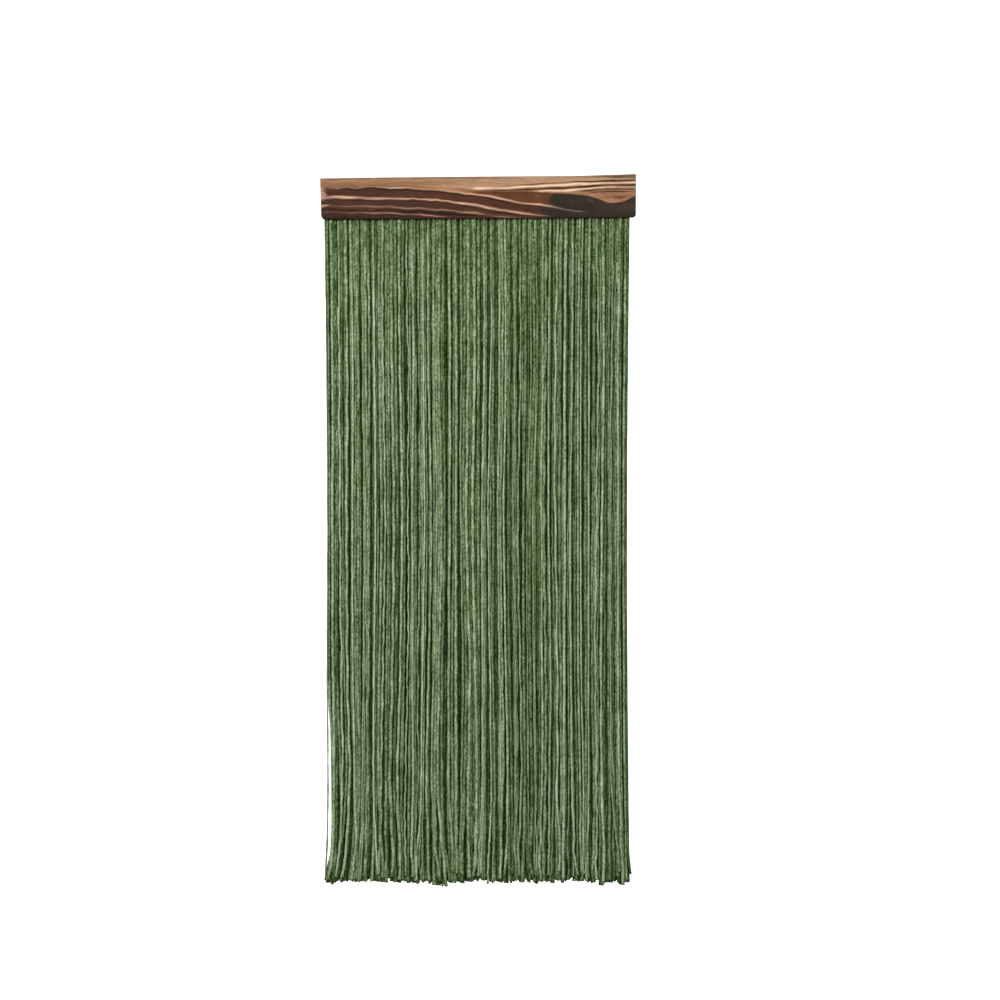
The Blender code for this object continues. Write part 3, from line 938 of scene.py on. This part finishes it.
class Wiring:
    """A node tree with short calls to add and join nodes."""

    def __init__(self, tree):
        self.tree = tree

    def add(self, kind, **settings):
        """Add a node with its own settings."""
        node = self.tree.nodes.new(kind)
        for name, value in settings.items():
            setattr(node, name, value)
        return node

    def join(self, source, target):
        """Link an output to an input, or set the input to a plain value."""
        if isinstance(source, bpy.types.NodeSocket):
            self.tree.links.new(source, target)
        else:
            target.default_value = source

    def maths(self, operation, *values):
        """A maths node's result for one to three values or sockets."""
        node = self.add("ShaderNodeMath", operation=operation)
        for value, target in zip(values, node.inputs):
            self.join(value, target)
        return node.outputs[0]

    def total(self, first, *others):
        """The sum of values or sockets."""
        for other in others:
            first = self.maths("ADD", first, other)
        return first

    def scaled(self, value, amount):
        """A value or socket times another."""
        return self.maths("MULTIPLY", value, amount)

    def spread(self, value, low, high, new_low=0.0, new_high=1.0, smooth=True):
        """Map a value from one range to another, held at its ends."""
        node = self.add("ShaderNodeMapRange")
        node.interpolation_type = "SMOOTHSTEP" if smooth else "LINEAR"
        node.clamp = True
        for number, source in enumerate((value, low, high, new_low, new_high)):
            self.join(source, node.inputs[number])
        return node.outputs[0]

    def swing(self, noise, reach):
        """Noise as a swing to both sides of nothing, no further than its reach."""
        return self.spread(noise, 0.3, 0.7, -reach, reach, smooth=False)

    def sway(self, noise, amount):
        """Noise less its middle, times an amount."""
        return self.scaled(self.maths("SUBTRACT", noise, 0.5), amount)

    def blend(self, amount, first, second, mode="MIX"):
        """Mix two colours by an amount."""
        node = self.add("ShaderNodeMix", data_type="RGBA", blend_type=mode, clamp_factor=True)
        self.join(amount, node.inputs[0])
        self.join(first, node.inputs[6])
        self.join(second, node.inputs[7])
        return node.outputs[2]

    def times(self, first, second):
        """Two colours multiplied."""
        return self.blend(1.0, first, second, "MULTIPLY")

    def vector(self, x, y, z):
        """A vector from three values."""
        node = self.add("ShaderNodeCombineXYZ")
        for value, target in zip((x, y, z), node.inputs):
            self.join(value, target)
        return node.outputs[0]

    def split(self, vector):
        """The three values of a vector."""
        node = self.add("ShaderNodeSeparateXYZ")
        self.join(vector, node.inputs[0])
        return tuple(node.outputs)

    def noise(self, place, scale=1.0, detail=2.0, rough=0.5):
        """Smooth noise from 0 to 1 at a place."""
        node = self.add("ShaderNodeTexNoise", noise_dimensions="3D")
        self.join(place, node.inputs["Vector"])
        self.join(scale, node.inputs["Scale"])
        self.join(detail, node.inputs["Detail"])
        self.join(rough, node.inputs["Roughness"])
        return node.outputs["Fac"]

    def value(self, name):
        """A number stored on the piece."""
        return self.add("ShaderNodeAttribute", attribute_name=name).outputs["Fac"]

    def ramp(self, place, colours):
        """The colour at a place in a row of colours, each with its own place from 0 to 1."""
        node = self.add("ShaderNodeValToRGB")
        elements = node.color_ramp.elements
        for position, colour in colours[1:-1]:
            elements.new(position).color = paint(*colour)
        elements[0].color = paint(*colours[0][1])
        elements[len(elements) - 1].color = paint(*colours[-1][1])
        self.join(place, node.inputs[0])
        return node.outputs[0]

    def raise_surface(self, shader, height, distance):
        """Give a shader a relief: its height from 0 to 1, and how high 1 is."""
        node = self.add("ShaderNodeBump")
        node.inputs["Distance"].default_value = distance
        self.join(height, node.inputs["Height"])
        self.join(node.outputs[0], shader.inputs["Normal"])


def new_group(name, inputs, outputs):
    """A node group with named sockets, and its wiring, input and output nodes."""
    group = bpy.data.node_groups.new(name, "ShaderNodeTree")
    for label, kind, value in inputs:
        made = group.interface.new_socket(name=label, in_out="INPUT", socket_type=kind)
        if value is not None:
            made.default_value = value
    for label, kind in outputs:
        group.interface.new_socket(name=label, in_out="OUTPUT", socket_type=kind)
    wires = Wiring(group)
    return group, wires, wires.add("NodeGroupInput"), wires.add("NodeGroupOutput")


def new_material(name, roughness, specular=0.25):
    """A material with its wiring and its Principled node."""
    material = bpy.data.materials.new(name)
    material.use_nodes = True
    wires = Wiring(material.node_tree)
    shader = material.node_tree.nodes["Principled BSDF"]
    shader.inputs["Roughness"].default_value = roughness
    shader.inputs["Specular IOR Level"].default_value = specular
    return material, wires, shader


# Colours of the dyed cotton, from the dark that serves the painted shade between the strings to the
# palest, and how its hue drifts: a little cooler and a little warmer
COTTON_COLOURS = (
    (0.00, (12, 28, 0)),
    (0.20, (37, 63, 9)),
    (0.40, (79, 102, 53)),
    (0.60, (124, 144, 102)),
    (0.80, (168, 186, 148)),
    (1.00, (210, 222, 192)),
)
COOLER = (0.97, 1.0, 1.012, 1.0)
WARMER = (1.02, 0.99, 0.985, 1.0)
SHEEN_TINT = (0.7, 0.85, 0.55, 1.0)

# Relief of the yarn's plies with its fibres beside them, of the tape's weave, and of the wood's grain
PLY_RELIEF = 0.45 * MM
FIBRE_RELIEF = 0.35
WEAVE_RELIEF = 0.25 * MM
GRAIN_RELIEF = 0.8 * MM

# The heading tape: its threads, and its tone and mottle
TAPE_THREADS = (1.8 * MM, 1.6 * MM)
TAPE_TONE = 0.62
TAPE_MOTTLE = 0.15


def dye_and_shade_group():
    """Uneven dye of cotton: a slow drift of tone and hue, a coarse and a fine mottle, and painted
    shade.
    """
    group, wires, given, made = new_group(
        "cotton_dye_and_shade",
        (
            ("Place", "NodeSocketVector", None),
            ("Tone", "NodeSocketFloat", 0.5),
            ("Shade", "NodeSocketFloat", 0.0),
            ("Mottle", "NodeSocketFloat", 0.3),
        ),
        (("Color", "NodeSocketColor"), ("Fibre", "NodeSocketFloat")),
    )
    yarn, down, around = wires.split(given.outputs["Place"])

    def spots(across, length, round_it, shift, detail, rough=0.5):
        """Noise with its own size across the yarns, down and round one."""
        place = wires.vector(
            wires.scaled(yarn, across),
            wires.scaled(down, 1.0 / length),
            wires.total(wires.scaled(around, round_it), shift),
        )
        return wires.noise(place, 1.0, detail, rough)

    slow = spots(3.7, 0.14, 0.0, 0.5, 2.0)
    hue = spots(0.7, 0.16, 0.0, 8.5, 1.0)
    coarse = spots(5.1, 0.060, 0.8, 3.5, 2.0)
    fleck = spots(5.3, 0.0075, 6.0, 0.0, 3.0, 0.65)
    mottle = wires.total(wires.swing(fleck, 0.78), wires.swing(coarse, 0.30))
    mottle = wires.scaled(mottle, given.outputs["Mottle"])
    tone = wires.total(given.outputs["Tone"], wires.swing(slow, 0.06), mottle)
    # The Shade input is painted shade, taken off the tone
    tone = wires.maths("SUBTRACT", tone, given.outputs["Shade"])
    green = wires.ramp(tone, COTTON_COLOURS)
    cool = wires.blend(wires.spread(hue, 0.46, 0.66), green, wires.times(green, COOLER))
    warm = wires.blend(wires.spread(hue, 0.46, 0.30), cool, wires.times(cool, WARMER))
    wires.join(warm, made.inputs["Color"])
    wires.join(fleck, made.inputs["Fibre"])
    return group


def yarn_material(dye):
    """Soft three-ply cotton yarn: twisted plies with painted shade in their grooves, uneven dye and
    fuzzy fibres.
    """
    material, wires, shader = new_material("cotton_yarn", 0.85, specular=0.12)
    place, down, _ = wires.split(wires.add("ShaderNodeUVMap", uv_map="twist").outputs[0])
    number, around = wires.maths("FLOOR", place), wires.maths("FRACT", place)
    turns = wires.total(around, wires.maths("DIVIDE", down, LAY))
    ply = wires.maths("FRACT", wires.scaled(turns, float(PLIES)))
    crest = wires.maths("POWER", wires.maths("SINE", wires.scaled(ply, math.pi)), 0.7)

    group = wires.add("ShaderNodeGroup", node_tree=dye)
    wires.join(wires.vector(number, down, around), group.inputs["Place"])
    wires.join(wires.value("tone"), group.inputs["Tone"])
    # Painted shade: in the grooves of the twist and deep inside the curtain, and darker at the frayed
    # end
    shade = wires.total(
        wires.scaled(wires.spread(crest, 0.8, 0.1), GROOVE_SHADE),
        wires.scaled(wires.value("deep"), DEEP_SHADE),
        wires.scaled(wires.value("fray"), FRAY_SHADE),
    )
    wires.join(shade, group.inputs["Shade"])
    wires.join(YARN_MOTTLE, group.inputs["Mottle"])
    wires.join(group.outputs["Color"], shader.inputs["Base Color"])
    fibre = group.outputs["Fibre"]
    rise = wires.total(crest, wires.scaled(fibre, FIBRE_RELIEF))
    wires.raise_surface(shader, rise, PLY_RELIEF)
    wires.join(wires.spread(fibre, 0.2, 0.8, 0.78, 0.95), shader.inputs["Roughness"])
    wires.join(0.08, shader.inputs["Sheen Weight"])
    wires.join(0.5, shader.inputs["Sheen Roughness"])
    wires.join(SHEEN_TINT, shader.inputs["Sheen Tint"])
    return material


def tape_material(dye):
    """Woven cotton heading tape in the yarn's colour, with painted shade between its threads."""
    material, wires, shader = new_material("woven_tape", 0.9)
    x, y, z = wires.split(wires.add("ShaderNodeTexCoord").outputs["Object"])
    across, up = (
        wires.maths("SINE", wires.scaled(place, 2 * math.pi / thread))
        for place, thread in zip((x, z), TAPE_THREADS)
    )
    weave = wires.scaled(across, up)
    group = wires.add("ShaderNodeGroup", node_tree=dye)
    wires.join(wires.vector(z, x, y), group.inputs["Place"])
    wires.join(TAPE_TONE, group.inputs["Tone"])
    wires.join(TAPE_MOTTLE, group.inputs["Mottle"])
    # Painted shade where the weave lies low, between the threads
    wires.join(wires.spread(weave, -1.0, 0.4, 0.25, 0.0), group.inputs["Shade"])
    wires.join(group.outputs["Color"], shader.inputs["Base Color"])
    wires.raise_surface(shader, weave, WEAVE_RELIEF)
    return material


def brushed_grain_group():
    """Fibres of brushed softwood: long streaks along the growth layers, fine fibres and flecks."""
    group, wires, given, made = new_group(
        "brushed_grain",
        [(name, "NodeSocketFloat", 0.0) for name in ("Along", "Layer", "Inward")],
        [(name, "NodeSocketFloat") for name in ("Streak", "Fibre", "Waver", "Fleck")],
    )
    along, layer, inward = (given.outputs[name] for name in ("Along", "Layer", "Inward"))

    def fibres(length, layers, shift, detail, rough=0.5):
        """Noise drawn out along the plank: its length, how many fit the height, and a shift."""
        place = wires.vector(
            wires.maths("DIVIDE", along, length),
            wires.scaled(layer, layers),
            wires.total(inward, shift),
        )
        return wires.noise(place, 1.0, detail, rough)

    wires.join(fibres(0.20, 26.0, 0.0, 3.0, 0.6), made.inputs["Streak"])
    wires.join(fibres(0.035, 60.0, 3.0, 3.0, 0.6), made.inputs["Fibre"])
    wires.join(wires.maths("SUBTRACT", fibres(0.11, 4.0, 6.0, 2.0), 0.5), made.inputs["Waver"])
    wires.join(fibres(0.022, 34.0, 9.0, 1.0), made.inputs["Fleck"])
    return group


# Colours of the growth layers from the plank's lower edge, darkest there with char and with painted
# shade under the board, to its upper edge
LAYER_COLOURS = (
    (0.00, (28, 18, 14)),
    (0.05, (56, 36, 26)),
    (0.13, (72, 44, 31)),
    (0.24, (78, 44, 29)),
    (0.32, (90, 60, 44)),
    (0.40, (72, 42, 29)),
    (0.50, (84, 54, 38)),
    (0.58, (76, 43, 28)),
    (0.68, (82, 48, 33)),
    (0.76, (74, 42, 28)),
    (0.785, (154, 108, 77)),
    (0.83, (150, 106, 78)),
    (0.86, (172, 127, 92)),
    (0.94, (184, 143, 110)),
    (1.00, (150, 114, 90)),
)

# Tint of the tan layers at the plank's left and its right, and of the flecks beside their ground
TAN_LEFT = (0.82, 0.755, 0.72, 1.0)
TAN_RIGHT = (1.10, 1.18, 1.19, 1.0)
FLECK_TINT = (1.5, 1.5, 1.45, 1.0)

# Colours of the brown heart, the scorch, the raised ridges, the same where they are charred, the
# palest ridges with a painted highlight, the hollows with their soot and the painted shade below the
# ridges, and the bare worn wood
HEART = paint(93, 54, 29)
SOOT = paint(52, 41, 33)
RIDGES = paint(184, 142, 116)
CHARRED_RIDGES = paint(146, 120, 108)
PALEST_RIDGES_AND_HIGHLIGHT = paint(244, 208, 176)
HOLLOWS_AND_SHADE = paint(34, 16, 8)
WORN_WOOD = paint(204, 160, 134)

# How fast the grain's noise changes from the face inwards
NOISE_INWARD = 30.0


def wood_material(grain):
    """Charred and brushed softwood: tan and burnt layers, pale ridges with painted highlights, soot
    in the hollows and painted shade below the ridges.
    """
    material, wires, shader = new_material("charred_wood", 0.6, specular=0.18)
    x, y, _ = wires.split(wires.add("ShaderNodeTexCoord").outputs["Object"])
    layer = wires.value("layer")
    group = wires.add("ShaderNodeGroup", node_tree=grain)
    wires.join(x, group.inputs["Along"])
    wires.join(layer, group.inputs["Layer"])
    wires.join(wires.scaled(y, NOISE_INWARD), group.inputs["Inward"])
    streak, fibre, waver_by, fleck = group.outputs

    burning = wires.ramp(wires.total(layer, wires.scaled(waver_by, 0.05)), LAYER_COLOURS)
    tint = wires.blend(wires.spread(x, -0.40, 0.25), TAN_LEFT, TAN_RIGHT)
    colour = wires.blend(wires.spread(layer, 0.79, 0.88), burning, wires.times(burning, tint))
    brown = wires.spread(wires.value("brown"), 0.1, 0.9, 0.0, 0.95)
    colour = wires.blend(brown, colour, HEART)
    scorched = wires.total(wires.value("char"), wires.sway(fibre, 0.35))
    colour = wires.blend(wires.spread(scorched, 0.3, 0.7), colour, SOOT)
    amount = wires.total(wires.value("streak"), wires.sway(streak, 0.5))
    ridges = wires.blend(wires.value("char"), RIDGES, CHARRED_RIDGES)
    # Pale streaks are pale ridges, the palest with a painted highlight; those below zero are soot in
    # the hollows and painted shade below the ridges
    colour = wires.blend(wires.spread(amount, 0.08, 0.60), colour, ridges)
    colour = wires.blend(wires.spread(amount, 0.55, 1.05), colour, PALEST_RIDGES_AND_HIGHLIGHT)
    colour = wires.blend(wires.spread(amount, -0.12, -0.90), colour, HOLLOWS_AND_SHADE)
    flecked = wires.times(colour, FLECK_TINT)
    colour = wires.blend(wires.spread(fleck, 0.60, 0.78, 0.0, 0.55), colour, flecked)
    worn = wires.total(wires.value("bare"), wires.sway(fibre, 1.4))
    colour = wires.blend(wires.spread(worn, 0.15, 0.8, 0.0, 0.85), colour, WORN_WOOD)
    gain = wires.spread(streak, 0.32, 0.68, 0.74, 1.26, smooth=False)
    gain = wires.total(gain, wires.swing(fibre, 0.16))
    gain = wires.scaled(gain, wires.spread(x, -0.45, -0.05, 0.90, 1.0))
    colour = wires.times(colour, wires.vector(gain, gain, gain))
    wires.join(colour, shader.inputs["Base Color"])
    rise = wires.total(streak, wires.scaled(fibre, 0.5))
    wires.raise_surface(shader, rise, GRAIN_RELIEF)
    wires.join(wires.spread(streak, 0.3, 0.7, 0.8, 0.6), shader.inputs["Roughness"])
    return material


# ---------------------------------------------------------------- room, lights and camera

# The camera: the width seen at its distance, and where it stands beside the curtain's middle
WIDTH_SEEN = 2.848
CAMERA_AWAY = 4.2
CAMERA_RIGHT = 0.0627
CAMERA_ABOVE = 0.0855
SENSOR_WIDTH = 36.0

# The round studio: its size, how it curves, how far its floor is below the curtain, and its paint
ROOM_RADIUS = 9.0
ROOM_HEIGHT = 14.0
ROOM_SIDES = 96
ROOM_CURVE = 3.0
CURVE_STEPS = 16
FLOOR_BELOW = 0.42
WHITE = (1.0, 1.0, 1.0, 1.0)
ROOM_WHITE = (0.9, 0.9, 0.9, 1.0)

# The lamps: where each stands, how wide and high it is, and its power. And the light all round
Lamp = namedtuple("Lamp", "name place size power")
LAMPS = (
    Lamp("key_light", (-3.2, -3.2, 1.1), (0.9, 1.6), 150.0),
    Lamp("fill_light", (2.6, -3.8, 0.4), (2.0, 2.4), 50.0),
)
SURROUND = 0.35


def make_room():
    """A plain white round studio, its floor curved up into its wall, that casts no light or shade."""
    floor_level = cad_box[0].z - FLOOR_BELOW
    bpy.ops.object.select_all(action="DESELECT")
    bpy.ops.mesh.primitive_cylinder_add(
        vertices=ROOM_SIDES,
        radius=ROOM_RADIUS,
        depth=ROOM_HEIGHT,
        location=(0, 0, floor_level + ROOM_HEIGHT / 2),
    )
    room = bpy.context.object
    room.name = "studio_floor"
    bpy.ops.object.transform_apply(location=True, rotation=False, scale=False)
    bpy.ops.object.mode_set(mode="EDIT")
    bpy.ops.mesh.select_all(action="SELECT")
    bpy.ops.mesh.flip_normals()
    bpy.ops.mesh.select_all(action="DESELECT")
    bm = bmesh.from_edit_mesh(room.data)
    for edge in bm.edges:
        edge.select_set(all(vert.co.z < floor_level + MM for vert in edge.verts))
    bmesh.update_edit_mesh(room.data)
    bpy.ops.mesh.bevel(offset=ROOM_CURVE, segments=CURVE_STEPS, affect="EDGES")
    bpy.ops.object.mode_set(mode="OBJECT")
    bpy.ops.object.shade_smooth()
    material, wires, shader = new_material("pale_floor", 0.95)
    wires.join(ROOM_WHITE, shader.inputs["Base Color"])
    wires.join(WHITE, shader.inputs["Emission Color"])
    wires.join(1.0, shader.inputs["Emission Strength"])
    room.data.materials.append(material)
    room.visible_diffuse = False
    room.visible_glossy = False
    room.visible_shadow = False


def add_lamp(lamp, aim):
    """A large soft rectangular lamp that faces a point."""
    light = bpy.data.lights.new(lamp.name, "AREA")
    light.shape = "RECTANGLE"
    light.size, light.size_y = lamp.size
    light.energy = lamp.power
    item = bpy.data.objects.new(lamp.name, light)
    item.location = lamp.place
    item.rotation_mode = "QUATERNION"
    item.rotation_quaternion = (aim - Vector(lamp.place)).to_track_quat("-Z", "Y")
    bpy.context.scene.collection.objects.link(item)


def light_studio():
    """Soft light from the left and right of the camera, and weaker white light all round."""
    for lamp in LAMPS:
        add_lamp(lamp, (cad_box[0] + cad_box[1]) / 2)
    world = bpy.data.worlds.new("studio")
    world.use_nodes = True
    wires = Wiring(world.node_tree)
    background = world.node_tree.nodes["Background"]
    wires.join(WHITE, background.inputs["Color"])
    wires.join(SURROUND, background.inputs["Strength"])
    bpy.context.scene.world = world
    bpy.context.scene.view_settings.view_transform = "Standard"


def set_camera():
    """A level camera straight in front, a little right of and above the curtain's middle."""
    middle = (cad_box[0] + cad_box[1]) / 2
    data = bpy.data.cameras.new("camera")
    data.sensor_width = SENSOR_WIDTH
    data.lens = data.sensor_width * CAMERA_AWAY / WIDTH_SEEN
    camera = bpy.data.objects.new("camera", data)
    camera.location = (
        middle.x + CAMERA_RIGHT, cad_box[0].y - CAMERA_AWAY, middle.z + CAMERA_ABOVE
    )
    camera.rotation_euler = (math.radians(90), 0.0, 0.0)
    bpy.context.scene.collection.objects.link(camera)
    bpy.context.scene.camera = camera


# ---------------------------------------------------------------- the whole


def main():
    """Dress the frame and light it."""
    dye = dye_and_shade_group()
    yarn = yarn_material(dye)
    tape = tape_material(dye)
    wood = wood_material(brushed_grain_group())
    for fringe, tape_name in zip(FRINGES, ("front_tape", "middle_tape", "back_tape")):
        make_fringe(fringe, yarn)
        make_tape(fringe, tape_name, tape)
    make_board(wood)
    make_room()
    light_studio()
    set_camera()


main()
